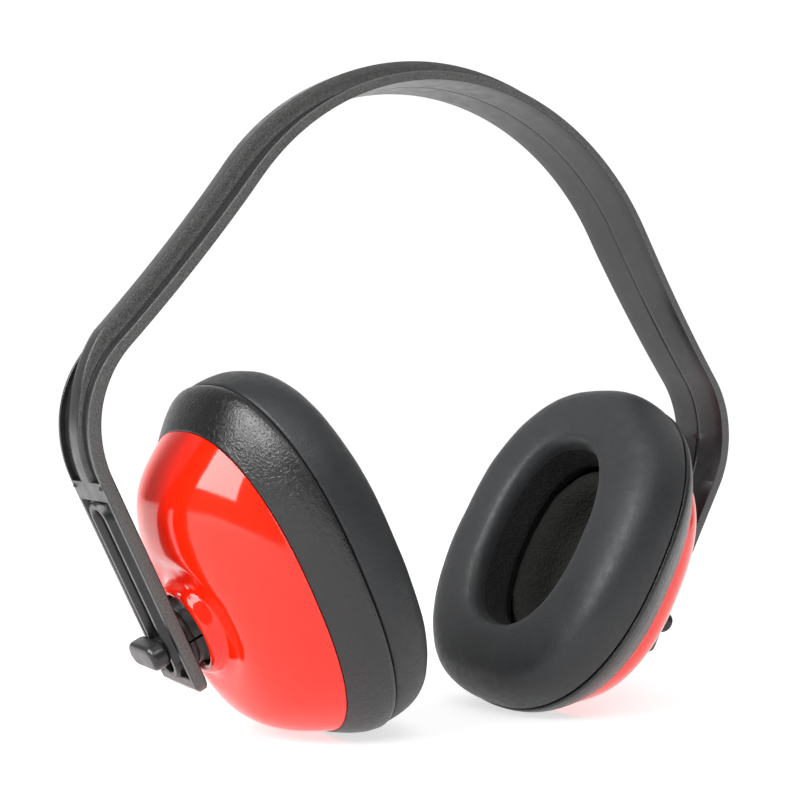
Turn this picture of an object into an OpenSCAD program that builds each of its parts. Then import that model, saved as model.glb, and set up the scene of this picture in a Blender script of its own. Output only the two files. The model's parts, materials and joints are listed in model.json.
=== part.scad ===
// Earmuff hearing protector: sprung headband, two sliding ear cups on ball pivots.
// Frame: +X is the wearer's right cup side, +Y is towards the back, +Z is up.
// The origin is at the middle of the surface that the cups stand on.

/* [Headband] */
// Width of the band, front to back
band_w = 23.4; // [22:0.2:25]
// Width of the arms at the band's lower ends
arm_w = 21; // [20:0.2:22]
// Thickness of the band's strip
band_t = 2; // [1.6:0.1:2.6]
// Height of the inside of the crown above the standing surface
crown_z = 181.8; // [180:0.2:190]
// Radius of the crown, measured on the inside
crown_r = 79; // [76:0.5:82]
// Angle that the crown turns through on each side
crown_turn = 56; // [54:0.5:58]
// Radius of the shallow reverse bend below the crown
flare_r = 540; // [400:10:700]
// Radius of the shoulder bend above each arm
shoulder_r = 29.5; // [27:0.5:32]
// Width of the stiffening rib
rib_w = 6.4; // [5:0.2:8]
// Height of the rib at the crown
rib_crown_h = 4.8; // [3:0.1:5]
// Height of the rib at the arms
rib_arm_h = 1.4; // [1:0.1:2]

/* [Arms] */
// Lean of the arms and the cups from vertical
lean = 27.5; // [26:0.5:29]
// Height of the arm's side faces
arm_t = 3.4; // [3:0.1:4]
// Width of the slot that the cup's slider runs in
slot_w = 7; // [6:0.2:8]
// Upper end of the slot, above the pivot
slot_top = 40; // [36:1:41]
// Lower end of the slot, below the pivot
slot_low = 7.6; // [7.4:0.1:8.4]

/* [Cups] */
// Distance of each pivot's line from the middle, at the cushion seam
cup_x = 48.9; // [48:0.1:50]
// Height of each pivot's line at the cushion seam
cup_z = 44; // [44:0.1:46]
// Distance of each cup's middle above its pivot
cup_up = 3.3; // [2.5:0.1:4]
// Half of the ring's height
ring_a = 52.3; // [51:0.1:52.4]
// Half of the ring's depth, front to back
ring_b = 42.6; // [40:0.2:44]
// Depth of the grained ring behind the cushion
ring_d = 11.2; // [10:0.2:12]
// Depth of the cup from the cushion seam to its outer face
cup_d = 29.4; // [29:0.2:30]
// Wall of the cup shell
cup_wall = 2.4; // [2:0.1:3]

/* [Cushions] */
// Thickness of the ear cushion
cushion_d = 16; // [14:0.5:17]
// Half of the ear opening's height
ear_a = 28; // [26:0.5:30]
// Half of the ear opening's width
ear_b = 18; // [16:0.5:20]

/* [Pivots] */
// Radius of the ball on the swivel collar
ball_r = 11; // [10.6:0.1:11.4]
// Radius of the slider's spigot
spigot_r = 4; // [3.5:0.1:4.5]

/* [Hidden] */

black = [0.09, 0.09, 0.10];
soft_black = [0.13, 0.13, 0.14];
shell_red = [0.90, 0.12, 0.06];
foam_grey = [0.20, 0.20, 0.21];

round_fn = 96;
step_deg = 3;            // arc step along the band
outline_n = 48;          // points round an oval outline
oval_power = 2.35;       // 2 is an ellipse, higher is squarer

// ---- the band's path: [x, z, turn], on the inside face of the right half ----
flare_turn = 90 + lean - crown_turn;          // turn left for the shoulder, before the reverse bend
reverse_turn = 6;                             // the flare bends back by this much
reverse_start = [crown_r * sin(crown_turn), crown_z - crown_r * (1 - cos(crown_turn))];
reverse_centre = reverse_start + flare_r * [sin(crown_turn), cos(crown_turn)];
shoulder_from = crown_turn - reverse_turn;
shoulder_start = reverse_centre - flare_r * [sin(shoulder_from), cos(shoulder_from)];
shoulder_centre = shoulder_start - shoulder_r * [sin(shoulder_from), cos(shoulder_from)];
arm_turn = 90 + lean;
arm_start = shoulder_centre + shoulder_r * [sin(arm_turn), cos(arm_turn)];

function arc(centre, r, from, to, sense) =
    let (count = ceil(abs(to - from) / step_deg))
    [for (i = [1 : count])
        let (turn = from + (to - from) * i / count)
        [centre[0] + sense * r * sin(turn), centre[1] + sense * r * cos(turn), turn]];

half_path = concat(
    [[0, crown_z, 0]],
    arc([0, crown_z - crown_r], crown_r, 0, crown_turn, 1),
    arc(reverse_centre, flare_r, crown_turn, shoulder_from, -1),
    arc(shoulder_centre, shoulder_r, shoulder_from, arm_turn, 1));
path_n = len(half_path);

// height of the rib on the strip, falling from the crown to the arms
function rib_h(i) =
    let (fade = min(1, max(0, (half_path[i][2] - 30) / 60 * (half_path[i][0] / arm_start[0]))))
    rib_crown_h + (rib_arm_h - rib_crown_h) * fade * fade * (3 - 2 * fade);

function lifted(i, h) = [half_path[i][0] + h * sin(half_path[i][2]), half_path[i][1] + h * cos(half_path[i][2])];

// closed outline in X and Z between two heights over the path, both halves
function both_halves(right) =
    concat([for (i = [len(right) - 1 : -1 : 1]) [-right[i][0], right[i][1]]], right);

// outline of the band in Y and Z, narrowing from the crown to the arms, less a margin on each edge
module width_outline(margin) {
    half = [band_w / 2 - margin, arm_w / 2 - margin];
    levels = [crown_z + 20, crown_z - 40, taper_z, -20];
    translate([-150, 0, 0]) rotate([90, 0, 90]) linear_extrude(300)
        polygon([[half[0], levels[0]], [half[0], levels[1]], [half[1], levels[2]], [half[1], levels[3]],
                 [-half[1], levels[3]], [-half[1], levels[2]], [-half[0], levels[1]], [-half[0], levels[0]]]);
}

// strip that follows the path between two heights over it
module along_path(low, high, width) {
    upper = both_halves([for (i = [0 : path_n - 1]) lifted(i, high[i])]);
    lower = both_halves([for (i = [0 : path_n - 1]) lifted(i, low[i])]);
    outline = concat(upper, [for (i = [len(lower) - 1 : -1 : 0]) lower[i]]);
    translate([0, width / 2, 0]) rotate([90, 0, 0]) linear_extrude(width) polygon(outline);
}

// ---- the cup's own frame: X out from the cushion seam, Y front to back, Z up the arm ----
module side(which) {
    mirror([which < 0 ? 1 : 0, 0, 0])
        translate([cup_x, 0, cup_z]) rotate([0, lean, 0]) children();
}

arm_offset = [arm_start[0] - cup_x, arm_start[1] - cup_z];
arm_in = arm_offset[0] * cos(lean) - arm_offset[1] * sin(lean);    // the arm's inner face
arm_top = arm_offset[0] * sin(lean) + arm_offset[1] * cos(lean);   // where the arm leaves the shoulder
arm_end = 13.6;                                                    // the arm's lower end, below the pivot
arm_out = arm_in + arm_t;
taper_z = cup_z + arm_top * cos(lean);                             // height at which the arm's width is reached
rail_w = 1.8;
arm_floor = 2.2;         // thickness of the arm between its rails
rim_w = 2;               // wall of the raised rim round the slot
rim_h = 0.9;             // its height over the rails
end_corner = 4;
end_block = 5;           // solid block below the slot

// oval outline as points [y, z]
function oval(a, b, shift = 0) =
    [for (i = [0 : outline_n - 1])
        let (t = 360 * (i + 0.5) / outline_n, c = cos(t), s = sin(t))
        [b * sign(s) * pow(abs(s), 2 / oval_power),
         a * sign(c) * pow(abs(c), 2 / oval_power) + cup_up + shift]];

module oval_plate(x0, depth, a, b, shift = 0) {
    translate([x0, 0, 0]) rotate([90, 0, 90]) linear_extrude(depth) polygon(oval(a, b, shift));
}

// solid through oval sections [x, a, b, shift], in order of rising x
module oval_loft(sections) {
    count = len(sections);
    points = [for (s = sections) for (p = oval(s[1], s[2], s[3])) [s[0], p[0], p[1]]];
    last = (count - 1) * outline_n;
    faces = concat(
        [for (k = [0 : count - 2]) for (i = [0 : outline_n - 1])
            let (j = (i + 1) % outline_n, p = k * outline_n)
            for (face = [[p + i, p + outline_n + j, p + outline_n + i], [p + i, p + j, p + outline_n + j]]) face],
        [[for (i = [outline_n - 1 : -1 : 0]) i]],
        [[for (i = [0 : outline_n - 1]) last + i]]);
    polyhedron(points, faces, convexity = 4);
}

// ring-shaped solid swept round the cup: profile points [x, inset], inset from the seam's outline
module oval_band(profile, a, b) {
    count = len(profile);
    points = [for (p = profile) for (q = oval(a - p[1], b - p[1])) [p[0], q[0], q[1]]];
    faces = [for (k = [0 : count - 1]) for (i = [0 : outline_n - 1])
        let (j = (i + 1) % outline_n, p = k * outline_n, q = ((k + 1) % count) * outline_n)
        for (face = [[p + i, q + i, q + j], [p + i, q + j, p + j]]) face];
    polyhedron(points, faces, convexity = 4);
}

module along_x(x0, length, r) {
    translate([x0, 0, 0]) rotate([0, 90, 0]) cylinder(h = length, r = r, $fn = round_fn);
}

// ---- headband ----
lip_w = 1.2;             // raised lips along both edges
lip_h = 0.5;             // their height at the crown
lip_arm_h = arm_t - band_t + 0.35;   // the lips stand over the arm's rails where they meet
arm_step = 0.05;         // the arm's faces sit this far inside the band's
overlap = 0.3;

function lip(i) = lip_h + (lip_arm_h - lip_h) * (rib_crown_h - rib_h(i)) / (rib_crown_h - rib_arm_h);

module slot_shape(x0, depth, r) {
    for (z = [-slot_low + slot_w / 2, slot_top - slot_w / 2])
        translate([x0, 0, z]) rotate([0, 90, 0]) cylinder(h = depth, r = r, $fn = 64);
    translate([x0, -r, -slot_low + slot_w / 2]) cube([depth, 2 * r, slot_top + slot_low - slot_w]);
}

module arm_block(depth) {
    half = arm_w / 2 - arm_step;
    thick = depth - arm_step;
    translate([arm_in + arm_step, 0, 0]) {
        translate([0, -half + end_corner, -arm_end]) cube([thick, 2 * (half - end_corner), end_corner + 1]);
        translate([0, -half, -arm_end + end_corner])
            cube([thick, 2 * half, arm_top + arm_end - end_corner + overlap]);
        for (y = [-1, 1]) translate([0, y * (half - end_corner), -arm_end + end_corner])
            rotate([0, 90, 0]) cylinder(h = thick, r = end_corner, $fn = 64);
    }
}

module arm() {
    difference() {
        union() {
            arm_block(arm_floor);
            difference() {
                arm_block(arm_t);
                translate([arm_in + arm_floor, -arm_w / 2 + rail_w, end_block - arm_end])
                    cube([arm_t, arm_w - 2 * rail_w, slot_top + rim_w + arm_end - end_block]);
            }
            slot_shape(arm_in + 1, arm_t + rim_h - 1, slot_w / 2 + rim_w);
        }
        slot_shape(arm_in - 1, arm_t + rim_h + 2, slot_w / 2);
        // chamfer across the lower end's outer edge
        translate([arm_out, -band_w, -arm_end]) rotate([0, -30, 0])
            translate([-2.4, 0, -8]) cube([8, 2 * band_w, 8]);
    }
}

module headband() {
    steps = [0 : path_n - 1];
    color(black) {
        difference() {
            intersection() {
                along_path([for (i = steps) 0], [for (i = steps) band_t + lip(i)], band_w + 2);
                width_outline(0);
            }
            intersection() {
                along_path([for (i = steps) band_t], [for (i = steps) band_t + lip(i) + 1], band_w + 2);
                width_outline(lip_w);
            }
        }
        along_path([for (i = steps) band_t - overlap], [for (i = steps) band_t + rib_h(i)], rib_w);
        for (which = [-1, 1]) side(which) arm();
    }
}

// ---- slider knob: bar outside the arm, neck through the slot, spigot for the collar ----
knob_l = 16;
knob_h = 6.8;
knob_t = 5.2;
knob_in = arm_out + rim_h + 0.3;
neck_clear = 0.15;
neck_h = 4.8;
collar_out = arm_in - 0.4;                 // the collar's face next to the arm
ball_x = 25.6;                             // the ball's centre, out from the cushion seam
collar_in = ball_x - 5;                    // the collar's inner face
head_r = 5.2;                              // snap head on the spigot's inner end
head_t = 1.8;

module slider_knob() {
    color(black) {
        translate([knob_in, -knob_l / 2 + knob_h / 2, -knob_h / 2]) cube([knob_t, knob_l - knob_h, knob_h]);
        for (y = [-1, 1]) translate([knob_in, y * (knob_l - knob_h) / 2, 0])
            rotate([0, 90, 0]) cylinder(h = knob_t, r = knob_h / 2, $fn = 64);
        translate([arm_in - 0.3, -slot_w / 2 + neck_clear, -neck_h / 2])
            cube([knob_in - arm_in + 0.7, slot_w - 2 * neck_clear, neck_h]);
        along_x(collar_in - 0.2, arm_in + 0.1 - collar_in, spigot_r);
        along_x(collar_in - 0.2 - head_t, head_t, head_r);
    }
}

// ---- swivel collar: split sleeve on the spigot, ball zone in the cup's socket ----
collar_r = 8.8;
spigot_clear = 0.05;
split_w = 0.7;

module swivel_collar() {
    color(soft_black) difference() {
        union() {
            along_x(ball_x, collar_out - ball_x, collar_r);
            intersection() {
                translate([ball_x, 0, 0]) sphere(r = ball_r, $fn = round_fn);
                along_x(collar_in, 2 * (ball_x - collar_in), ball_r + 1);
            }
        }
        along_x(collar_in - 1, collar_out - collar_in + 2, spigot_r + spigot_clear);
        translate([collar_in - 1, -ball_r - 1, -split_w / 2])
            cube([collar_out - collar_in + 2, ball_r + 1, split_w]);
    }
}

// ---- cup shell ----
socket_clear = 0.3;
socket_r = ball_r + socket_clear;
boss_r = 13.4;
boss_in = ball_x - 4.6;
boss_out = cup_d + 3.4;
rim_a = ring_a - 6.9;
rim_b = ring_b - 6.4;
spigot_d = 3;

// sections of the outside: [x, inset from the rim's outline along its length, inset across it]
dome = [[ring_d, 0, 0], [15, 2.2, 1.2], [19, 4.8, 3.4], [22.4, 7.6, 6.8], [25.2, 10.6, 11.4],
        [27.4, 14.2, 17], [28.8, 20, 23.4], [cup_d, 26, 29.4]];

module cup_shell() {
    color(shell_red) difference() {
        union() {
            difference() {
                union() {
                    oval_loft([for (s = dome) [s[0], rim_a - s[1], rim_b - s[2], -1.1]]);
                    oval_plate(ring_d - spigot_d, spigot_d + 0.1, rim_a - cup_wall, rim_b - cup_wall, -1.1);
                }
                oval_loft(concat(
                    [for (x = [ring_d - spigot_d - 1, ring_d + 0.4])
                        [x, rim_a - 2 * cup_wall, rim_b - 2 * cup_wall, -1.1]],
                    [for (s = dome) if (s[0] > 15 && s[0] < 28)
                        [s[0] - 0.6 * cup_wall, rim_a - 1.2 * cup_wall - s[1], rim_b - 1.2 * cup_wall - s[2], -1.1]]));
            }
            along_x(boss_in, boss_out - boss_in, boss_r);
        }
        translate([ball_x, 0, 0]) sphere(r = socket_r, $fn = round_fn);
        along_x(boss_in - 1, boss_out - boss_in + 2, collar_r + 1.3);
    }
}

// ---- backing ring: the grained black ring that carries the cushion ----
plate_a = ring_a - 5;
plate_b = ring_b - 5;
mouth_a = ring_a - 17;
mouth_b = ring_b - 17;

module backing_ring() {
    color(black) {
        difference() {
            oval_loft([[0, ring_a, ring_b, 0], [1.2, ring_a, ring_b, 0], [5.4, ring_a - 2.4, ring_b - 2.2, -0.3],
                       [ring_d, rim_a, rim_b, -1.1]]);
            oval_loft([[-1, ring_a - 3, ring_b - 3, 0], [1.8, ring_a - 3, ring_b - 3, 0], [5.4, ring_a - 5, ring_b - 4.8, -0.4],
                       [ring_d + 1, rim_a - cup_wall + 0.1, rim_b - cup_wall + 0.1, -1.1]]);
        }
        difference() {
            oval_plate(2.3, 1.8, ring_a - 3.2, ring_b - 3.2);
            oval_plate(1, 4, mouth_a, mouth_b);
        }
    }
}

// ---- liner foam: absorbs sound inside the cup ----
module liner_foam() {
    color(foam_grey) difference() {
        oval_loft([[4.9, rim_a - 7, rim_b - 7, -1.1], [13, rim_a - 7, rim_b - 7, -1.1],
                   [17.6, rim_a - 10.5, rim_b - 10.5, -1.1]]);
        oval_loft([[3, ear_a - 4, ear_b - 2, 0], [9, ear_a - 6, ear_b - 4, 0], [12, ear_a - 10, ear_b - 8, 0]]);
    }
}

// ---- cushion: stiff plate, backing film, foam ring and cover ----
module cushion_plate() {
    color(black) difference() {
        oval_plate(0.4, 1.8, ring_a - 3.4, ring_b - 3.4);
        oval_plate(-1, 5, ear_a + 3, ear_b + 3);
    }
}

module cushion_film() {
    color(soft_black) difference() {
        oval_plate(-0.3, 0.6, ring_a - 3.4, ring_b - 3.4);
        oval_plate(-1, 3, ear_a + 2.4, ear_b + 2.4);
    }
}

// profile of the cushion's outside, [x, inset], from the seam round the face to the ear opening
skin_t = 1;
cushion_rings = ring_a - ear_a;
function cushion_profile(gap) =
    let (back = -0.4 - gap, face = -cushion_d + gap, outer = 0.6 + gap)
    [[back, outer], [-4, outer - 1], [-9, outer - 0.6], [-13, outer + 2.4], [face, outer + 7.2],
     [face, outer + 14], [-12.4, cushion_rings - 2.2 - gap], [-7, cushion_rings - 0.6 - gap], [back, cushion_rings - gap]];

module cushion_body(gap) {
    outer = cushion_profile(gap);
    oval_band(outer, ring_a, ring_b);
}

module cushion_foam() {
    color(foam_grey) cushion_body(skin_t + 0.1);
}

module cushion_cover() {
    color(soft_black) difference() {
        cushion_body(0);
        cushion_body(skin_t);
    }
}

headband();
side(-1) slider_knob();  // left_slider_knob
side(1) slider_knob();  // right_slider_knob
side(-1) swivel_collar();  // left_swivel_collar
side(1) swivel_collar();  // right_swivel_collar
side(-1) cup_shell();  // left_cup_shell
side(1) cup_shell();  // right_cup_shell
side(-1) backing_ring();  // left_backing_ring
side(1) backing_ring();  // right_backing_ring
side(-1) liner_foam();  // left_liner_foam
side(1) liner_foam();  // right_liner_foam
side(-1) cushion_plate();  // left_cushion_plate
side(1) cushion_plate();  // right_cushion_plate
side(-1) cushion_film();  // left_cushion_film
side(1) cushion_film();  // right_cushion_film
side(-1) cushion_foam();  // left_cushion_foam
side(1) cushion_foam();  // right_cushion_foam
side(-1) cushion_cover();  // left_cushion_cover
side(1) cushion_cover();  // right_cushion_cover
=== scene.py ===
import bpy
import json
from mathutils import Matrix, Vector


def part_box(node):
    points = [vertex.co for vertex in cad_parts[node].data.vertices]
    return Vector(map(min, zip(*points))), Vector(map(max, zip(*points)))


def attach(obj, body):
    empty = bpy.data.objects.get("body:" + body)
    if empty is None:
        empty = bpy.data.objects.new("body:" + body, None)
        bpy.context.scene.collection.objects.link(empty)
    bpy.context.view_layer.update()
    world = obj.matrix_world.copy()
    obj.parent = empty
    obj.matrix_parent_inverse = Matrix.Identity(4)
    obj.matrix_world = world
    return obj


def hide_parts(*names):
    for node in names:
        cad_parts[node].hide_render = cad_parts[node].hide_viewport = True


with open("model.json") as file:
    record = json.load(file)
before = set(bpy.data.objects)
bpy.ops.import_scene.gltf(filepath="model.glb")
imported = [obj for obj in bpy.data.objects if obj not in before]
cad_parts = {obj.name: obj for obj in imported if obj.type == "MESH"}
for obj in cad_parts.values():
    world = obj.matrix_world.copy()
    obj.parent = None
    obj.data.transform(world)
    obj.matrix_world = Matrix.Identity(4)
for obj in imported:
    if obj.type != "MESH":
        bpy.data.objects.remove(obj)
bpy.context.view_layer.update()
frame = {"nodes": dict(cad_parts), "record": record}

import json
import math
import bpy
import numpy as np
from mathutils import Matrix, Vector, noise

MM = 0.001
SIDES = (("left", -1), ("right", 1))

# ---- driving sizes, in millimetres, as in the CAD model ----
BAND_W, ARM_W, BAND_T = 23.4, 21.0, 2.0
CROWN_R, CROWN_TURN = 79.0, 56.0
FLARE_R, REVERSE_TURN, SHOULDER_R = 540.0, 6.0, 29.5
RIB_CROWN_H, RIB_ARM_H, LIP_H = 4.8, 1.4, 0.5
ARM_T, ARM_FLOOR, ARM_END, END_CORNER, END_BLOCK = 3.4, 2.2, 13.6, 4.0, 5.0
RAIL_W, RIM_W, RIM_H = 1.8, 2.0, 0.9
SLOT_W, SLOT_TOP, SLOT_LOW = 7.0, 40.0, 7.6
RING_A, RING_B, RING_D = 52.3, 42.6, 11.2
RIM_A, RIM_B, RIM_SHIFT = RING_A - 6.9, RING_B - 6.4, -1.1
CUP_UP, CUP_D, CUP_WALL = 3.3, 29.4, 2.4
EAR_A, EAR_B = 28.0, 18.0
BALL_X, BALL_R, SPIGOT_R, COLLAR_R = 25.6, 11.0, 4.0, 8.8
BALL_CUT = 5.0                           # from the ball's centre to the collar's flat inner face
COLLAR_IN = BALL_X - BALL_CUT
KNOB_L, KNOB_H, KNOB_T, NECK_H = 16.0, 6.8, 5.2, 4.8
OVAL_POWER = 2.35

# ---- places that come from the frame ----
joints = {joint["name"]: joint for joint in frame["record"]["behaviour"]["joints"]}
swivel = joints["right_swivel"]
OUT = np.array(swivel["axis"]) / np.linalg.norm(swivel["axis"])     # away from the head
UP = np.array(joints["right_height"]["axis"])                       # up the arm
UP = UP / np.linalg.norm(UP)
PIVOT = np.array(swivel["pos_m"]) / MM - BALL_X * OUT                # where the pivot line meets the seam
LEAN = math.degrees(math.atan2(UP[0], UP[2]))
CUP_X, CUP_Z = PIVOT[0], PIVOT[2]
CROWN_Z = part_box("headband")[1][2] / MM - BAND_T - RIB_CROWN_H


# ---- meshes ----
def to_world(points):
    """Cup-frame points (out, back, up) of the right side, in millimetres, to the row frame."""
    points = np.asarray(points, dtype=float)
    back = np.array([0.0, 1.0, 0.0])
    return PIVOT + points[:, :1] * OUT + points[:, 1:2] * back + points[:, 2:3] * UP


def make(name, points, faces, slots, side=1, face_slots=None, sharp=40):
    """A mesh object from points in millimetres. side -1 mirrors it to the left."""
    points = np.array(points, dtype=float) * MM
    if side < 0:
        points[:, 0] *= -1
        faces = [tuple(reversed(face)) for face in faces]
    mesh = bpy.data.meshes.new(name)
    mesh.from_pydata([tuple(p) for p in points], [], [tuple(f) for f in faces])
    for slot in slots:
        mesh.materials.append(slot)
    if face_slots is not None:
        mesh.polygons.foreach_set("material_index", face_slots)
    mesh.validate()
    mesh.polygons.foreach_set("use_smooth", [True] * len(mesh.polygons))
    if sharp:
        mesh.set_sharp_from_angle(angle=math.radians(sharp))
    obj = bpy.data.objects.new(name, mesh)
    bpy.context.collection.objects.link(obj)
    return obj


def skin(rows, closed=False, cap_start=False, cap_end=False):
    """Points and quads through rows of equal length, each row a closed loop."""
    rows = [np.asarray(row, dtype=float) for row in rows]
    count, width = len(rows), len(rows[0])
    faces = []
    for k in range(count if closed else count - 1):
        a, b = k * width, ((k + 1) % count) * width
        for i in range(width):
            j = (i + 1) % width
            faces.append((a + i, a + j, b + j, b + i))
    points = np.concatenate(rows)
    for wanted, row in ((cap_start, 0), (cap_end, count - 1)):
        if wanted:
            centre = len(points)
            points = np.vstack([points, rows[row].mean(axis=0)])
            for i in range(width):
                pair = (row * width + i, row * width + (i + 1) % width)
                faces.append((pair[1], pair[0], centre) if row == 0 else (pair[0], pair[1], centre))
    return points, faces


def oval(x, a, b, shift, count, power=OVAL_POWER):
    """One oval loop of cup-frame points at height x over the seam."""
    t = np.linspace(0, 2 * math.pi, count, endpoint=False)
    c, s = np.cos(t), np.sin(t)
    up = a * np.sign(c) * np.abs(c) ** (2 / power) + CUP_UP + shift
    back = b * np.sign(s) * np.abs(s) ** (2 / power)
    return np.stack([np.full(count, float(x)), back, up], axis=1)


def circle(x, r, count=64):
    t = np.linspace(0, 2 * math.pi, count, endpoint=False)
    return np.stack([np.full(count, float(x)), -r * np.sin(t), r * np.cos(t)], axis=1)


def smooth(value, low, high):
    t = np.clip((np.asarray(value, dtype=float) - low) / (high - low), 0, 1)
    return t * t * (3 - 2 * t)


# ---- materials ----
class Finish:
    """A procedural material on the Principled shader. Lengths are in millimetres."""

    def __init__(self, name, **values):
        self.material = bpy.data.materials.new(name)
        self.material.use_nodes = True
        self.tree = self.material.node_tree
        self.shader = self.tree.nodes["Principled BSDF"]
        for socket, value in values.items():
            self.shader.inputs[socket.replace("_", " ")].default_value = value
        place = self.add("ShaderNodeTexCoord")
        scale = self.add("ShaderNodeVectorMath", operation="SCALE")
        scale.inputs["Scale"].default_value = 1 / MM
        self.tree.links.new(place.outputs["Object"], scale.inputs[0])
        self.place = scale.outputs[0]
        self.normal = None

    def add(self, kind, **settings):
        node = self.tree.nodes.new(kind)
        for key, value in settings.items():
            setattr(node, key, value)
        return node

    def stretched(self, x, y, z):
        node = self.add("ShaderNodeVectorMath", operation="MULTIPLY")
        node.inputs[1].default_value = (x, y, z)
        self.tree.links.new(self.place, node.inputs[0])
        return node.outputs[0]

    def noise(self, size, detail=3.0, distortion=0.0, place=None):
        node = self.add("ShaderNodeTexNoise")
        node.inputs["Scale"].default_value = 1 / size
        node.inputs["Detail"].default_value = detail
        node.inputs["Distortion"].default_value = distortion
        self.tree.links.new(place or self.place, node.inputs["Vector"])
        return node.outputs[0]

    def cells(self, size, feature="F1", smoothness=None):
        node = self.add("ShaderNodeTexVoronoi", feature=feature)
        node.inputs["Scale"].default_value = 1 / size
        if smoothness is not None:
            node.inputs["Smoothness"].default_value = smoothness
        self.tree.links.new(self.place, node.inputs["Vector"])
        return node.outputs["Distance"]

    def spread(self, source, low, high, to_low, to_high):
        node = self.add("ShaderNodeMapRange")
        for index, value in enumerate((low, high, to_low, to_high), start=1):
            node.inputs[index].default_value = value
        self.tree.links.new(source, node.inputs[0])
        return node.outputs[0]

    def tint(self, source, low_colour, high_colour):
        node = self.add("ShaderNodeMix", data_type="RGBA")
        for socket in node.inputs:
            if socket.name in "AB" and socket.type == "RGBA":
                socket.default_value = (*(low_colour if socket.name == "A" else high_colour), 1)
        self.tree.links.new(source, node.inputs["Factor"])
        colour = next(socket for socket in node.outputs if socket.type == "RGBA")
        self.tree.links.new(colour, self.shader.inputs["Base Color"])

    def rough(self, source, low, high):
        self.tree.links.new(self.spread(source, 0.3, 0.7, low, high), self.shader.inputs["Roughness"])

    def bump(self, source, depth):
        node = self.add("ShaderNodeBump")
        node.inputs["Distance"].default_value = depth * MM
        self.tree.links.new(source, node.inputs["Height"])
        if self.normal is not None:
            self.tree.links.new(self.normal, node.inputs["Normal"])
        self.normal = node.outputs["Normal"]
        self.tree.links.new(self.normal, self.shader.inputs["Normal"])


def band_smooth():
    finish = Finish("band_plastic", Specular_IOR_Level=0.5)
    finish.tint(finish.noise(9, 4), (0.007, 0.007, 0.008), (0.012, 0.012, 0.013))
    finish.rough(finish.noise(3.5, 4), 0.26, 0.38)
    finish.bump(finish.noise(0.35, 2), 0.006)
    finish.bump(finish.noise(14, 1), 0.12)
    return finish.material


def band_grain_painted_light():
    finish = Finish("band_grained_plastic_painted_light", Specular_IOR_Level=0.5)
    # the grain texture is real; the lighter speckle, up to 0.135, is painted light standing in for front
    # light on the side walls
    finish.tint(finish.noise(0.5, 2), (0.016, 0.016, 0.016), (0.135, 0.135, 0.132))
    finish.rough(finish.noise(0.8, 3), 0.34, 0.50)
    finish.bump(finish.noise(0.42, 3), 0.14)
    return finish.material


def shell_red():
    finish = Finish("red_gloss_plastic", Specular_IOR_Level=0.46)
    finish.tint(finish.noise(22, 3), (0.84, 0.014, 0.002), (0.90, 0.018, 0.004))
    finish.rough(finish.noise(6, 3), 0.07, 0.12)
    finish.bump(finish.noise(7, 1), 0.010)
    return finish.material


def ring_grain():
    finish = Finish("ring_leather_grain_plastic", Specular_IOR_Level=0.5)
    finish.tint(finish.noise(5, 3), (0.007, 0.007, 0.008), (0.012, 0.012, 0.013))
    finish.rough(finish.noise(1.6, 3), 0.26, 0.36)
    finish.bump(finish.noise(1.25, 2, 1.6), 0.16)
    finish.bump(finish.cells(0.9, "DISTANCE_TO_EDGE"), 0.05)
    return finish.material


def leatherette():
    finish = Finish("cushion_leatherette", Specular_IOR_Level=0.4, Sheen_Weight=0.06, Sheen_Roughness=0.4)
    finish.tint(finish.noise(11, 4), (0.013, 0.014, 0.015), (0.019, 0.020, 0.022))
    finish.rough(finish.noise(2.2, 4), 0.42, 0.56)
    finish.bump(finish.cells(0.55, "SMOOTH_F1", 0.4), 0.05)
    finish.bump(finish.noise(4.5, 3), 0.16)
    return finish.material


def open_foam(name, dark, light):
    finish = Finish(name, Specular_IOR_Level=0.2)
    finish.tint(finish.noise(0.7, 4), dark, light)
    finish.rough(finish.noise(0.9, 2), 0.88, 0.97)
    finish.bump(finish.cells(0.8), 0.35)
    finish.bump(finish.noise(0.35, 2), 0.12)
    return finish.material


def collar_plastic():
    finish = Finish("collar_plastic", Specular_IOR_Level=0.45)
    finish.tint(finish.noise(2.5, 4), (0.006, 0.006, 0.006), (0.011, 0.011, 0.010))
    finish.rough(finish.noise(1.2, 4, place=finish.stretched(0.3, 1, 1)), 0.36, 0.50)
    finish.bump(finish.noise(0.5, 3), 0.02)
    return finish.material


def stiff_sheet(name, low, high, rough_low, rough_high):
    finish = Finish(name, Specular_IOR_Level=0.4)
    finish.tint(finish.noise(6, 3), low, high)
    finish.rough(finish.noise(2, 3), rough_low, rough_high)
    finish.bump(finish.noise(0.6, 2), 0.02)
    return finish.material


# the grained finish carries painted light: its lighter speckle stands in for front light on the band's side
# walls
SMOOTH, GRAIN_PAINTED_LIGHT = band_smooth(), band_grain_painted_light()
RED, RING, LEATHER, COLLAR = shell_red(), ring_grain(), leatherette(), collar_plastic()
LINER = open_foam("liner_foam", (0.006, 0.006, 0.006), (0.022, 0.022, 0.020))
# dark, very rough foam for the cover's ear-opening wall: painted shade where that wall lies in shadow
EAR_WALL_PAINTED_SHADE = open_foam("ear_opening_painted_shade", (0.008, 0.008, 0.008), (0.020, 0.020, 0.019))
PADDING = open_foam("cushion_foam", (0.014, 0.014, 0.015), (0.036, 0.036, 0.036))
PLATE = stiff_sheet("cushion_plate_plastic", (0.008, 0.008, 0.009), (0.014, 0.014, 0.015), 0.42, 0.56)
FILM = stiff_sheet("cushion_film", (0.012, 0.012, 0.013), (0.018, 0.018, 0.019), 0.30, 0.42)


# ---- headband: a section swept along the path on the band's inner face ----
def arc(centre, r, start, end, sense, step):
    count = max(2, math.ceil(abs(math.radians(end - start)) * r / step))
    turns = np.linspace(start, end, count + 1)[1:]
    radians = np.radians(turns)
    return [(centre[0] + sense * r * math.sin(a), centre[1] + sense * r * math.cos(a), t)
            for a, t in zip(radians, turns)]


def shifted(point, r, turn):
    return (point[0] + r * math.sin(math.radians(turn)), point[1] + r * math.cos(math.radians(turn)))


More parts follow.
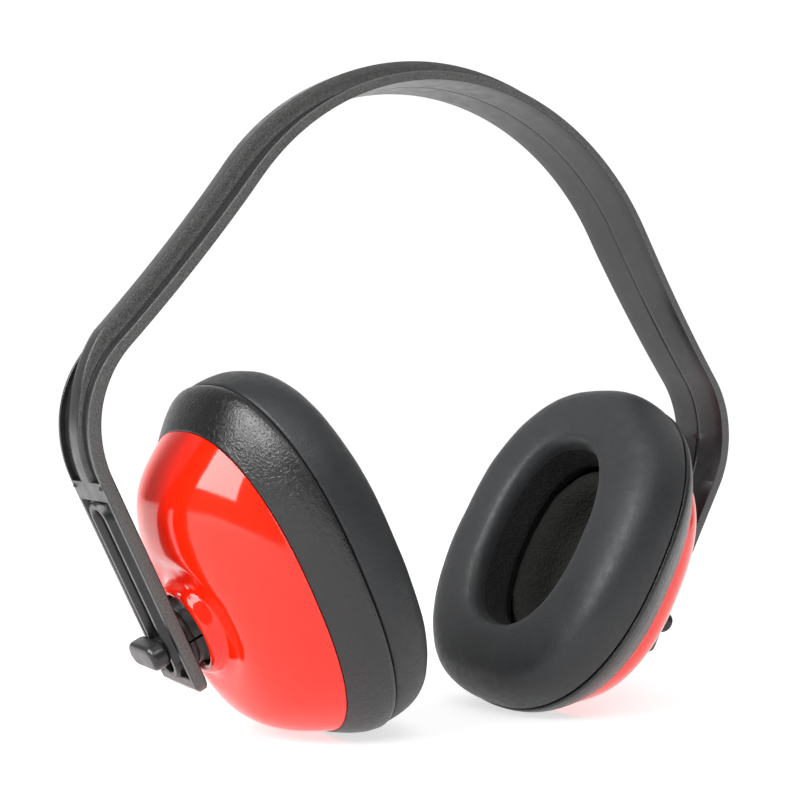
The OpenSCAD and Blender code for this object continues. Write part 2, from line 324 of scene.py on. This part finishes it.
def band_path(step=1.4):
    """(x, z, turn) from the crown to the top of the right arm."""
    crown_centre = (0, CROWN_Z - CROWN_R)
    flare_start = shifted(crown_centre, CROWN_R, CROWN_TURN)
    flare_centre = shifted(flare_start, FLARE_R, CROWN_TURN)
    shoulder_from = CROWN_TURN - REVERSE_TURN
    shoulder_start = shifted(flare_centre, -FLARE_R, shoulder_from)
    shoulder_centre = shifted(shoulder_start, -SHOULDER_R, shoulder_from)
    return ([(0, CROWN_Z, 0)]
            + arc(crown_centre, CROWN_R, 0, CROWN_TURN, 1, step)
            + arc(flare_centre, FLARE_R, CROWN_TURN, shoulder_from, -1, step)
            + arc(shoulder_centre, SHOULDER_R, shoulder_from, 90 + LEAN, 1, step * 0.6))


PATH = band_path()
arm_start = np.array([PATH[-1][0] - CUP_X, 0, PATH[-1][1] - CUP_Z])
ARM_IN, ARM_TOP = float(arm_start @ OUT), float(arm_start @ UP)
ARM_OUT = ARM_IN + ARM_T
TAPER_Z = CUP_Z + ARM_TOP * math.cos(math.radians(LEAN))
TAPER_DROP = 40.0     # the band narrows from this far below the crown


def fade(x, turn):
    """0 at the crown to 1 at the arm."""
    return float(smooth(max(0.0, (turn - 30) / 60 * (abs(x) / PATH[-1][0])), 0, 1))


def half_width(z):
    """Half the band's width at a height."""
    taper_from = CROWN_Z - TAPER_DROP
    share = min(1.0, max(0.0, (taper_from - z) / (taper_from - TAPER_Z)))
    return (BAND_W + (ARM_W - BAND_W) * share) / 2


RECESS_FROM, RECESS_TO, RECESS_DEPTH = 88.0, 117.0, 0.55     # a recess in the inner face, by turn in degrees


def band_section(half, lip, rib, recess):
    """Half of the section, from the rib's middle over the edge to the middle of the inner face:
    (back, height, grained)."""
    top, floor, edge = BAND_T + rib, BAND_T, BAND_T + lip
    channel = half - 1.45 - 3.7
    points = [(0.0, top, 0), (1.0, top, 0), (2.0, top - 0.03, 0), (2.42, top - 0.05, 0),
              (2.55, top - 0.20, 0), (2.70, top - 0.05, 0), (2.95, top - 0.06, 0),
              (3.10, top - 0.16, 0), (3.18, top - 0.34, 1),
              (3.24, floor + 0.5 * rib, 1), (3.30, floor + 0.3, 1), (3.42, floor + 0.07, 0)]
    points += [(3.7 + channel * k / 6, floor - 0.16 * math.sin(math.pi * k / 6), 0) for k in range(7)]
    points += [(half - 1.30, floor + 0.05, 0), (half - 1.20, edge - 0.12, 0), (half - 1.08, edge - 0.01, 0),
               (half - 0.70, edge, 0), (half - 0.34, edge - 0.01, 0), (half - 0.12, edge - 0.08, 1),
               (half - 0.02, edge - 0.24, 1), (half, edge - 0.42, 1), (half, 0.4, 1), (half - 0.03, 0.18, 1),
               (half - 0.14, 0.04, 0), (half - 0.34, 0.0, 0), (half * 0.66, 0.0, 0), (half * 0.33, 0.0, 0),
               (1.25, 0.0, 0), (1.10, recess, 0), (0.25, recess, 0), (0.10, recess + 0.07, 0)]
    return points


def band_rows():
    rows, grain_and_painted_light = [], []
    whole = [(-x, z, -turn) for x, z, turn in reversed(PATH[1:])] + PATH
    for x, z, turn in whole:
        away = fade(x, abs(turn))
        rib = RIB_CROWN_H + (RIB_ARM_H - RIB_CROWN_H) * away
        lip = LIP_H + (ARM_T - BAND_T - LIP_H) * away
        entered = float(smooth(abs(turn), RECESS_FROM, RECESS_FROM + 1.5))
        recess = RECESS_DEPTH * entered * (abs(turn) < RECESS_TO)
        half = band_section(half_width(z), lip, rib, recess)
        loop = half + [(-back, height, grain) for back, height, grain in reversed(half[:-1])]
        loop = loop[:-1]
        normal = (math.sin(math.radians(turn)), math.cos(math.radians(turn)))
        rows.append([(x + height * normal[0], back, z + height * normal[1]) for back, height, _ in loop])
        grain_and_painted_light = [grain for _, _, grain in loop]
    return rows, grain_and_painted_light


def slot_distance(y, u):
    """Distance outside the slot's outline, negative inside it."""
    r = SLOT_W / 2
    middle = np.clip(u, -SLOT_LOW + r, SLOT_TOP - r)
    return np.hypot(y, u - middle) - r


def arm_height(y, u, half):
    """Height of the arm's outer face over its inner face."""
    inside = half - np.abs(y)
    pocket = smooth(inside, RAIL_W - 0.15, RAIL_W + 0.25)
    pocket = pocket * smooth(u, END_BLOCK - ARM_END - 0.2, END_BLOCK - ARM_END + 0.3)
    pocket = pocket * (1 - smooth(u, SLOT_TOP + RIM_W - 0.3, SLOT_TOP + RIM_W + 0.2))
    height = ARM_T - (ARM_T - ARM_FLOOR) * pocket
    rim = slot_distance(y, u)
    crown = 1 - smooth(rim, RIM_W - 0.45, RIM_W + 0.1)
    rim_top = ARM_T + RIM_H - 0.25 * (1 - smooth(rim, 0.0, 0.35))
    height = height + (rim_top - height) * crown
    pip = np.hypot(np.abs(y) - (half - RAIL_W + 0.1), u - (ARM_TOP - 1.4))
    height = height + 0.55 * (1 - smooth(pip, 0.2, 0.75))
    chamfer = 1.9 + (u + ARM_END) * 0.62
    height = np.minimum(height, np.maximum(chamfer, 1.9))
    edge = np.clip(inside / 0.35, 0, 1)
    return height - 0.3 * (1 - np.sqrt(1 - (1 - edge) ** 2))


def arm_rows():
    rows = []
    shank, end = np.linspace(ARM_TOP, 3 - ARM_END, 180), np.linspace(2.8 - ARM_END, -ARM_END, 22)
    for u in np.concatenate([shank, end]):
        corner = max(0.0, END_CORNER - (u + ARM_END))
        half = ARM_W / 2 - END_CORNER + math.sqrt(max(0.0, END_CORNER ** 2 - corner ** 2))
        edge = np.array([0, 0.04, 0.12, 0.25])
        y = np.concatenate([-half + edge, np.linspace(0.4 - half, half - 0.4, 84), half - edge[::-1]])
        outer = [(ARM_IN + h, back, u) for back, h in zip(y, arm_height(y, np.full(len(y), u), half))]
        inner = [(ARM_IN + lift, back, u) for back, lift in
                 ((half, 0.35), (half - 0.05, 0.12), (half - 0.25, 0.0), (half * 0.4, 0.0),
                  (-half * 0.4, 0.0), (0.25 - half, 0.0), (0.05 - half, 0.12), (-half, 0.35))]
        rows.append(to_world(outer + inner))
    return rows


def volume(points, faces):
    """Signed volume: below 0 when the faces are turned inward."""
    points = np.asarray(points)
    total = 0.0
    for face in faces:
        for k in range(1, len(face) - 1):
            total += np.dot(points[face[0]], np.cross(points[face[k]], points[face[k + 1]]))
    return total / 6


def solid(name, rows, slots, side=1, face_slots=None, sharp=40, closed=False):
    """A closed mesh object through rows of points, with its faces turned outward."""
    points, faces = skin(rows, closed=closed, cap_start=not closed, cap_end=not closed)
    if volume(points, faces) < 0:
        faces = [tuple(reversed(face)) for face in faces]
    if face_slots is not None:
        face_slots = list(face_slots) + [0] * (len(faces) - len(face_slots))
    return make(name, points, faces, slots, side, face_slots, sharp)


def cut(piece, tool):
    """Takes the tool's solid out of the piece, and deletes the tool."""
    modifier = piece.modifiers.new("cut", "BOOLEAN")
    modifier.object = tool
    modifier.solver = "EXACT"
    apply_modifiers(piece)
    bpy.data.objects.remove(tool)


def apply_modifiers(piece):
    depsgraph = bpy.context.evaluated_depsgraph_get()
    mesh = bpy.data.meshes.new_from_object(piece.evaluated_get(depsgraph))
    piece.modifiers.clear()
    piece.data = mesh


def join(name, pieces):
    """One object from several, in the place of the first."""
    with bpy.context.temp_override(active_object=pieces[0], selected_editable_objects=pieces,
                                   selected_objects=pieces, object=pieces[0]):
        bpy.ops.object.join()
    pieces[0].name = name
    return pieces[0]


def stadium(length, width, count=48):
    """Outline with round ends, long in the second axis: (second, third)."""
    r = width / 2
    straight = (length - width) / 2
    t = np.linspace(0, 2 * math.pi, count, endpoint=False) + math.pi / count
    return np.stack([r * np.cos(t) + straight * np.sign(np.cos(t)), r * np.sin(t)], axis=1)


def headband():
    rows, grain_and_painted_light = band_rows()
    # grained faces get the grained finish, whose lighter speckle is painted light
    face_slots = [grain for _ in range(len(rows) - 1) for grain in grain_and_painted_light]
    pieces = [solid("band", rows, [SMOOTH, GRAIN_PAINTED_LIGHT], face_slots=face_slots, sharp=32)]
    for _, side in SIDES:
        rows = arm_rows()
        width = len(rows[0])
        edges = {0, width - 9, width - 8, width - 1}     # the ends of the outer face and of the inner face
        # these faces get the grained finish, whose lighter speckle is painted light
        slots = [int(i in edges) for _ in range(len(rows) - 1) for i in range(width)]
        arm = solid("arm", rows, [SMOOTH, GRAIN_PAINTED_LIGHT], side, slots, 32)
        middle, reach = (SLOT_TOP - SLOT_LOW) / 2, SLOT_TOP + SLOT_LOW
        outline = stadium(reach, SLOT_W)
        loops = [np.stack([np.full(len(outline), x), outline[:, 1], outline[:, 0] + middle], axis=1)
                 for x in (ARM_IN - 2, ARM_OUT + 4)]
        cut(arm, solid("slot", [to_world(loop) for loop in loops], [SMOOTH], side))
        pieces.append(arm)
    band = join("headband_moulding", pieces)
    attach(band, "headband")
    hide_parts("headband")


# ---- slider knob and collar ----
def rounded_rows(outline, low, high, radius, steps):
    """Rows up the out axis through one outline function, rounded at both ends: outline(inset)."""
    turns = np.linspace(0, math.pi / 2, steps + 1)
    bottom = [(low + radius * (1 - math.sin(t)), radius * (1 - math.cos(t))) for t in turns[::-1]]
    top = [(high - radius * (1 - math.sin(t)), radius * (1 - math.cos(t))) for t in turns]
    rows = []
    for x, inset in bottom + top:
        points = outline(inset)
        rows.append(np.stack([np.full(len(points), x), points[:, 0], points[:, 1]], axis=1))
    return rows


# (depth past the collar's inner face, radius)
SNAP_HEAD = ((2.0, 4.6), (1.6, 5.1), (1.0, 5.2), (0.2, 5.0))


def slider_knob(name, side):
    base = ARM_OUT + RIM_H + 0.3
    bar = rounded_rows(lambda inset: stadium(KNOB_L - 2 * inset, KNOB_H - 2 * inset),
                       base, base + KNOB_T, 1.5, 7)
    neck = rounded_rows(lambda inset: stadium(SLOT_W - 0.3 - 2 * inset, NECK_H - 2 * inset),
                        ARM_IN - 0.3, base + 0.4, 0.15, 2)
    spigot = [circle(COLLAR_IN - depth, r) for depth, r in SNAP_HEAD]
    spigot += [circle(COLLAR_IN - 0.15, SPIGOT_R), circle(ARM_IN - 0.1, SPIGOT_R)]
    parts = [solid(name + suffix, [to_world(row) for row in rows], [SMOOTH], side, sharp=50)
             for suffix, rows in (("bar", bar), ("neck", neck), ("spigot", spigot))]
    knob = join(name + "_slider_knob_moulding", parts)
    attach(knob, name + "_slider")
    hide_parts(name + "_slider_knob")


def swivel_collar(name, side):
    """A turned sleeve with a ball end, open along a fine split at the front."""
    inner, outer, bore = COLLAR_IN, ARM_IN - 0.4, SPIGOT_R + 0.06
    ball_from = math.asin(-BALL_CUT / BALL_R)
    ball_to = math.acos(COLLAR_R / BALL_R)
    ball = [(BALL_X + BALL_R * math.sin(t), BALL_R * math.cos(t))
            for t in np.linspace(ball_from, ball_to, 22)]
    profile = ([(inner, bore + 0.3)] + ball
               + [(outer - 2.2, COLLAR_R), (outer - 2.0, COLLAR_R - 0.12), (outer - 1.8, COLLAR_R),
                  (outer - 0.5, COLLAR_R), (outer - 0.15, COLLAR_R - 0.12), (outer, COLLAR_R - 0.5),
                  (outer, bore + 0.3), (outer - 0.3, bore), (inner + 0.3, bore)])
    half_gap = math.asin(0.28 / COLLAR_R)
    rows = []
    for turn in np.linspace(math.pi / 2 + half_gap, math.pi * 2.5 - half_gap, 97):
        rows.append(to_world([(x, -r * math.sin(turn), r * math.cos(turn)) for x, r in profile]))
    collar = solid(name + "_swivel_collar_moulding", rows, [COLLAR], side, sharp=50)
    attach(collar, name + "_collar")
    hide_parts(name + "_swivel_collar")


# ---- cup shell: a domed surface that closes in on a raised lip round the pivot ----
LIP_R, LIP_ROUND, LIP_TOP, LIP_SLOPE = 11.6, 1.5, CUP_D + 3.2, 5.5
WAIST_R, WAIST_WIDTH, WAIST_DEPTH = 15.6, 3.6, 1.5     # the valley round the lip
HOLE_R = COLLAR_R + 1.3
SOCKET_WALL_R = 14.2

# outside of the dome: the height over the seam, and the inset from the rim's outline along and across it
DOME = ((11.2, 0.0, 0.0), (13.0, 1.0, 0.45), (15.0, 2.2, 1.1), (17.0, 3.5, 2.1), (19.0, 4.8, 3.4),
        (20.8, 6.1, 5.0), (22.5, 7.6, 6.9), (24.0, 9.0, 9.0), (25.5, 10.8, 11.2), (26.9, 12.9, 13.8),
        (28.1, 15.4, 16.8),
        (29.0, 18.4, 20.0), (29.7, 21.8, 23.6), (30.2, 25.6, 28.0), (30.5, 29.6, 33.0), (30.6, 34.0, 36.1))
HEIGHTS, LONG_INSETS, WIDE_INSETS = (np.array(column) for column in zip(*DOME))


def rounded(level, values):
    """One value at each level along the dome's profile, with the profile's corners rounded."""
    steps = np.arange(len(values))
    reach = np.linspace(-0.8, 0.8, 9)
    near = np.mean([np.interp(np.clip(level + r, 0, None), steps, values) for r in reach], axis=0)
    return np.where(level < 0.8, np.interp(level, steps, values), near)


def dome_level(y, u):
    """How far up the dome's profile a point lies, by stepping ovals inward."""
    low, high = np.zeros_like(y), np.full_like(y, len(DOME) - 1.0)
    for _ in range(30):
        middle = (low + high) / 2
        value = (np.abs(y) / (RIM_B - rounded(middle, WIDE_INSETS))) ** OVAL_POWER \
            + (np.abs(u - CUP_UP - RIM_SHIFT) / (RIM_A - rounded(middle, LONG_INSETS))) ** OVAL_POWER
        inside = value < 1
        low, high = np.where(inside, middle, low), np.where(inside, high, middle)
    return (low + high) / 2


def dome_height(y, u):
    """Height of the shell's outside: the dome, the valley round the lip, and the lip blended in."""
    height = rounded(dome_level(y, u), HEIGHTS)
    around = np.hypot(y, u)
    waist = np.exp(-((around - WAIST_R) / WAIST_WIDTH) ** 2) * (0.6 + 0.4 * smooth(u, -14, 10))
    height = height - WAIST_DEPTH * waist * smooth(height, 20, 26)
    offset = np.abs(around - LIP_R) / LIP_ROUND
    lip = LIP_TOP - LIP_ROUND * (1 - np.sqrt(1 - np.minimum(offset, 1) ** 2)) \
        - LIP_SLOPE * np.maximum(offset - 1, 0)
    blend = 0.9
    mixed = np.clip(0.5 + 0.5 * (lip - height) / blend, 0, 1)
    return height + (lip - height) * mixed + blend * mixed * (1 - mixed)


def shell_outline(share, count):
    """Loop on the way from the rim, at 0, to the hole round the pivot, at 1."""
    t = np.linspace(0, 2 * math.pi, count, endpoint=False)
    inset = 24.0 * share
    rim = oval(0, RIM_A - inset, RIM_B - inset, RIM_SHIFT, count)
    r = HOLE_R + (RIM_B - 6 - HOLE_R) * (1 - share)
    ring = np.stack([np.zeros(count), r * np.sin(t), r * np.cos(t)], axis=1)
    mix = float(smooth(share, 0.15, 0.86))
    return rim * (1 - mix) + ring * mix


def shell_rows(count=224):
    shares = np.concatenate([np.linspace(0, 1, 26)[:-1] ** 1.6 * 0.62, np.linspace(0.62, 1.0, 34)])
    rows = []
    for share in shares:
        loop = shell_outline(share, count)
        loop[:, 0] = dome_height(loop[:, 1], loop[:, 2])
        rows.append(loop)
    rows[0] = oval(RING_D + 0.25, RIM_A - 0.02, RIM_B - 0.02, RIM_SHIFT, count)
    rows.insert(0, oval(RING_D + 0.02, RIM_A - 0.25, RIM_B - 0.25, RIM_SHIFT, count))

    def turned(x, r):
        t = np.linspace(0, 2 * math.pi, count, endpoint=False)
        return np.stack([np.full(count, x), r * np.sin(t), r * np.cos(t)], axis=1)

    socket = BALL_R + 0.3
    for x in np.linspace(LIP_TOP - 2.0, BALL_X - 4.4, 16):
        rows.append(turned(x, max(HOLE_R, math.sqrt(socket ** 2 - (x - BALL_X) ** 2))))
    rows.append(turned(BALL_X - 4.6, SOCKET_WALL_R))
    rows.append(turned(BALL_X - 2.0, SOCKET_WALL_R))
    for share in (0.8, 0.6, 0.42, 0.26, 0.12, 0.05):
        loop = shell_outline(share, count)
        outside = dome_height(loop[:, 1], loop[:, 2])
        centre = np.array([0, 0, CUP_UP + RIM_SHIFT])
        loop = centre + (loop - centre) * 0.93
        loop[:, 0] = np.minimum(outside - 2.2, CUP_D - 3.2)
        rows.append(loop)
    for x, inset in ((RING_D + 1, 2 * CUP_WALL), (RING_D - 3, 2 * CUP_WALL), (RING_D - 3, CUP_WALL),
                     (RING_D - 0.1, CUP_WALL), (RING_D - 0.05, 1.2)):
        rows.append(oval(x, RIM_A - inset, RIM_B - inset, RIM_SHIFT, count))
    return rows


def cup_shell(name, side):
    rows = [to_world(row) for row in shell_rows()]
    shell = solid(name + "_cup_shell_moulding", rows, [RED], side, sharp=48, closed=True)
    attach(shell, name + "_cup")
    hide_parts(name + "_cup_shell")


# ---- backing ring ----
def backing_ring(name, side):
    """Grained ring with a bead at the cushion seam and an inner flange for the cushion's plate."""
    outside = [(0.0, 0.5, 0), (0.04, 0.22, 0), (0.16, 0.06, 0), (0.5, 0.0, 0), (1.1, 0.0, 0), (1.5, 0.1, 0),
               (2.2, 0.36, 0)]
    for k in range(1, 13):
        share = k / 12
        outside.append((2.2 + (RING_D - 0.35 - 2.2) * share, 0.36 + 6.0 * share ** 1.28, RIM_SHIFT * share))
    outside += [(RING_D - 0.1, 6.55, RIM_SHIFT), (RING_D, 6.9, RIM_SHIFT)]
    inside = [(RING_D, 9.1, RIM_SHIFT), (5.4, 5.2, -0.4), (4.1, 4.6, 0), (4.1, 17.0, 0), (2.3, 17.0, 0),
              (2.3, 3.5, 0), (0.1, 3.1, 0), (0.0, 2.6, 0)]
    rows = []
    for x, inset, shift in outside + inside:
        narrow = inset - 0.5 * min(1.0, inset / 6.9) if x > 5 else inset
        rows.append(to_world(oval(x, RING_A - inset, RING_B - narrow, shift, 200)))
    ring = solid(name + "_backing_ring_moulding", rows, [RING], side, sharp=50, closed=True)
    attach(ring, name + "_cup")
    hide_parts(name + "_backing_ring")


# ---- liner foam ----
def liner_foam(name, side):
    """A block of foam with a moulded hollow for the ear, its face torn soft by noise."""
    levels = [(17.6, 14.0), (17.6, 6.0), (17.4, 1.5), (16.4, 0.4), (13.0, 0.0), (9.0, 0.0), (5.6, 0.3),
              (5.0, 1.2)]
    out_a, out_b = RIM_A - 7, RIM_B - 7
    rows = [oval(x, out_a - inset, out_b - inset, RIM_SHIFT, 120, 2.3) for x, inset in levels]
    in_a, in_b = EAR_A - 4, EAR_B - 2
    for x, inset in ((4.8, -4.8), (3.0, -4.8), (1.3, -4.6), (0.6, -3.6), (0.8, -2.2), (1.7, -0.8), (3.2, 0.6),
                     (5.2, 1.8), (7.8, 3.0), (9.8, 4.4), (11.2, 6.4), (12.0, 8.8), (12.3, 11.0)):
        rows.append(oval(x, in_a - inset, in_b - inset, 0, 120, 2.2))
    rows.append(oval(12.4, 8.0, 2.6, 0, 120, 2.2))
    rows.append(oval(12.4, 4.0, 1.3, 0, 120, 2.2))
    for row in rows[len(levels):]:
        for point in row:
            point[0] += 0.55 * noise.noise(Vector(point) / 5.0 + Vector((side * 3.0, 0, 0)))
    foam = solid(name + "_liner_foam_block", [to_world(row) for row in rows], [LINER], side, sharp=0)
    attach(foam, name + "_cup")
    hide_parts(name + "_liner_foam")


# ---- cushion: cover by cloth simulation, foam inside it ----
BLOW_CAP, DENT_DEPTH, FOAM_INSET = 1.6, 0.32, 1.1
PAINTED_SHADE_FROM = 21.8     # inset past which the cover's ear-opening wall gets a darker, rougher foam finish: painted shade in the opening


def cushion_profile():
    """(out, inset) points round the cushion, from the seam over the face to the ear opening."""
    ear = RING_A - EAR_A
    corners = [(-0.35, 0.45), (-0.7, 0.15), (-2.2, 0.0), (-4.5, -0.2), (-7.5, 0.0), (-10.2, 0.6),
               (-12.6, 1.8), (-14.3, 3.6), (-15.3, 6.0), (-15.75, 9.0), (-15.85, 12.4), (-15.8, 15.6),
               (-15.6, 18.6), (-15.0, 20.4), (-13.4, 21.5), (-10.6, 22.1), (-7.2, 22.4), (-4.2, 22.9),
               (-1.8, 23.4), (-0.5, 23.1)]
    scale = (ear - 0.8) / 23.4     # the deepest inset lands just outside the ear opening
    return [(x, inset * scale) for x, inset in corners]


def cushion_mesh(name, side):
    """The cover before the cloth: the profile swept round the cup, closed across its flat back."""
    profile = cushion_profile()
    profile += [(-0.45, inset) for inset in (16.0, 10.0, 5.0)]
    count = 132
    rows = [to_world(oval(x, RING_A - inset, RING_B - inset, 0, count)) for x, inset in profile]
    # faces past this inset get the darker finish: painted shade inside the ear opening
    painted_shade_rows = [int(inset > PAINTED_SHADE_FROM) for _, inset in profile]
    face_slots = [slot for slot in painted_shade_rows for _ in range(count)]
    return solid(name, rows, [LEATHER, EAR_WALL_PAINTED_SHADE], side, face_slots, sharp=0, closed=True)


def simulate(cover, cap):
    """Blows the cover up a little as cloth, with its back held to the ring, and keeps the result."""
    seam = cover.vertex_groups.new(name="seam")
    side = 1 if cover.data.vertices[0].co.x > 0 else -1
    start = np.array([v.co for v in cover.data.vertices])
    out = (start / MM * [side, 1, 1] - PIVOT) @ OUT
    seam.add([int(i) for i in np.nonzero(out > -1.0)[0]], 1.0, "REPLACE")
    cloth = cover.modifiers.new("cloth", "CLOTH")
    settings = cloth.settings
    settings.vertex_group_mass = "seam"
    settings.use_pressure = True
    settings.uniform_pressure_force = 0.4
    settings.mass = 0.15
    settings.quality = 6
    settings.tension_stiffness = settings.compression_stiffness = 18
    settings.bending_stiffness = 0.6
    settings.effector_weights.gravity = 0
    cloth.collision_settings.use_collision = False
    scene = bpy.context.scene
    for number in range(1, 21):
        scene.frame_set(number)
    apply_modifiers(cover)
    scene.frame_set(1)
    moved = np.array([v.co for v in cover.data.vertices]) - start
    length = np.linalg.norm(moved, axis=1, keepdims=True)
    moved *= np.minimum(1, cap * MM / np.maximum(length, 1e-9))
    for vertex, place in zip(cover.data.vertices, start + moved):
        vertex.co = place


def dent(cover, depth):
    """Soft dents and pulls in the leatherette, fading to nothing at the seam."""
    side = 1 if cover.data.vertices[0].co.x > 0 else -1
    cover.data.update()
    for vertex in cover.data.vertices:
        out = float((np.array(vertex.co) / MM * [side, 1, 1] - PIVOT) @ OUT)
        hold = float(smooth(-out, 1.0, 5.0))
        place = Vector(vertex.co) / MM
        push = noise.noise(place / 13.0) + 0.4 * noise.noise(place / 5.5)
        vertex.co += vertex.normal * (push * depth * hold * MM)


def smoothed(piece):
    modifier = piece.modifiers.new("smooth", "SUBSURF")
    modifier.levels = modifier.render_levels = 1
    apply_modifiers(piece)
    piece.data.polygons.foreach_set("use_smooth", [True] * len(piece.data.polygons))


def cushion(name, side):
    cover = cushion_mesh(name + "_cushion_cover_skin", side)
    simulate(cover, BLOW_CAP)
    dent(cover, DENT_DEPTH)
    foam = cover.copy()
    foam.data = cover.data.copy()
    foam.name = name + "_cushion_foam_ring"
    bpy.context.collection.objects.link(foam)
    smoothed(cover)
    for slot in range(len(foam.data.materials)):
        foam.data.materials[slot] = PADDING
    for vertex in foam.data.vertices:
        vertex.co -= vertex.normal * (FOAM_INSET * MM)
    for piece, node, slot in ((cover, "cushion_cover", "cushion"), (foam, "cushion_foam", "foam")):
        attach(piece, name + "_cup")
        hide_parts(name + "_" + node)


def inner_sheets(name):
    """The plate and the film keep their CAD shape, and get their finish."""
    for node, finish in (("cushion_plate", PLATE), ("cushion_film", FILM)):
        piece = frame["nodes"][name + "_" + node]
        piece.data.materials.clear()
        piece.data.materials.append(finish)


# ---- studio ----
def stage():
    """A wide, flat white floor."""
    rows = [[(r / MM * math.cos(t), r / MM * math.sin(t), 0.0) for t in np.radians(range(0, 360, 5))]
            for r in (6.0, 1.5, 0.6)]
    points, faces = skin(rows, cap_end=True)
    finish = Finish("studio_white", Base_Color=(0.55, 0.55, 0.55, 1), Roughness=0.9, Specular_IOR_Level=0.1,
                    Emission_Color=(1, 1, 1, 1), Emission_Strength=0.68)
    finish.rough(finish.noise(400, 2), 0.88, 0.92)
    floor = make("studio_floor", points, faces, [finish.material], sharp=0)


def surroundings():
    """White behind the object, lighter overhead, and grey everywhere else."""
    world = bpy.data.worlds.new("studio")
    world.use_nodes = True
    tree = world.node_tree
    direction = tree.nodes.new("ShaderNodeTexCoord").outputs["Generated"]

    def lit(axis, low, high, dark, light):
        dot = tree.nodes.new("ShaderNodeVectorMath")
        dot.operation = "DOT_PRODUCT"
        dot.inputs[1].default_value = axis
        tree.links.new(direction, dot.inputs[0])
        ramp = tree.nodes.new("ShaderNodeMapRange")
        for index, value in enumerate((low, high, dark, light), start=1):
            ramp.inputs[index].default_value = value
        tree.links.new(dot.outputs["Value"], ramp.inputs[0])
        return ramp.outputs[0]

    room, behind, overhead = 0.24, (0.55, 0.83, 0), (0, 0, 1)
    brighter = tree.nodes.new("ShaderNodeMath")
    brighter.operation = "MAXIMUM"
    tree.links.new(lit(behind, 0.62, 0.84, room, 1.05), brighter.inputs[0])
    tree.links.new(lit(overhead, 0.50, 0.75, room, 0.70), brighter.inputs[1])
    background = tree.nodes["Background"]
    background.inputs["Color"].default_value = (1, 1, 1, 1)
    tree.links.new(brighter.outputs[0], background.inputs["Strength"])
    bpy.context.scene.world = world


LAMP_TARGET = Vector((0, 0, 0.09))     # about the object's middle


def lamp(name, place, size, power):
    data = bpy.data.lights.new(name, "AREA")
    data.shape = "RECTANGLE"
    data.size, data.size_y = size
    data.energy = power
    light = bpy.data.objects.new(name, data)
    light.location = place
    light.rotation_euler = (LAMP_TARGET - Vector(place)).to_track_quat("-Z", "Y").to_euler()
    bpy.context.collection.objects.link(light)


def studio():
    stage()
    surroundings()
    lamp("key_softbox", (-1.14, -0.02, 0.84), (1.35, 0.75), 34)
    lamp("front_softbox", (-0.45, -1.10, 1.35), (0.60, 0.45), 6)
    lamp("right_fill", (1.1, -0.3, 0.9), (0.6, 0.6), 1)
    bpy.context.scene.view_settings.view_transform = "Standard"


def camera():
    """At the photograph's viewing angle: place in the row frame, then turn from +Y, tilt and roll."""
    data = bpy.data.cameras.new("camera")
    data.lens, data.sensor_width = 62.6, 36
    data.shift_x, data.shift_y = -0.0016, 0.0477
    view = bpy.data.objects.new("camera", data)
    view.location = (-0.2320, -0.3315, 0.0842)
    azimuth, elevation, roll = math.radians(-33.53), math.radians(0.51), math.radians(1.81)
    back = Vector((math.sin(azimuth) * math.cos(elevation), -math.cos(azimuth) * math.cos(elevation),
                   math.sin(elevation)))
    turn = (-back).to_track_quat("-Z", "Y").to_matrix() @ Matrix.Rotation(roll, 3, "Z")
    view.rotation_euler = turn.to_euler()
    bpy.context.collection.objects.link(view)
    bpy.context.scene.camera = view


camera()
studio()
headband()
for side_name, sign in SIDES:
    slider_knob(side_name, sign)
    swivel_collar(side_name, sign)
    cup_shell(side_name, sign)
    backing_ring(side_name, sign)
    liner_foam(side_name, sign)
    cushion(side_name, sign)
    inner_sheets(side_name)
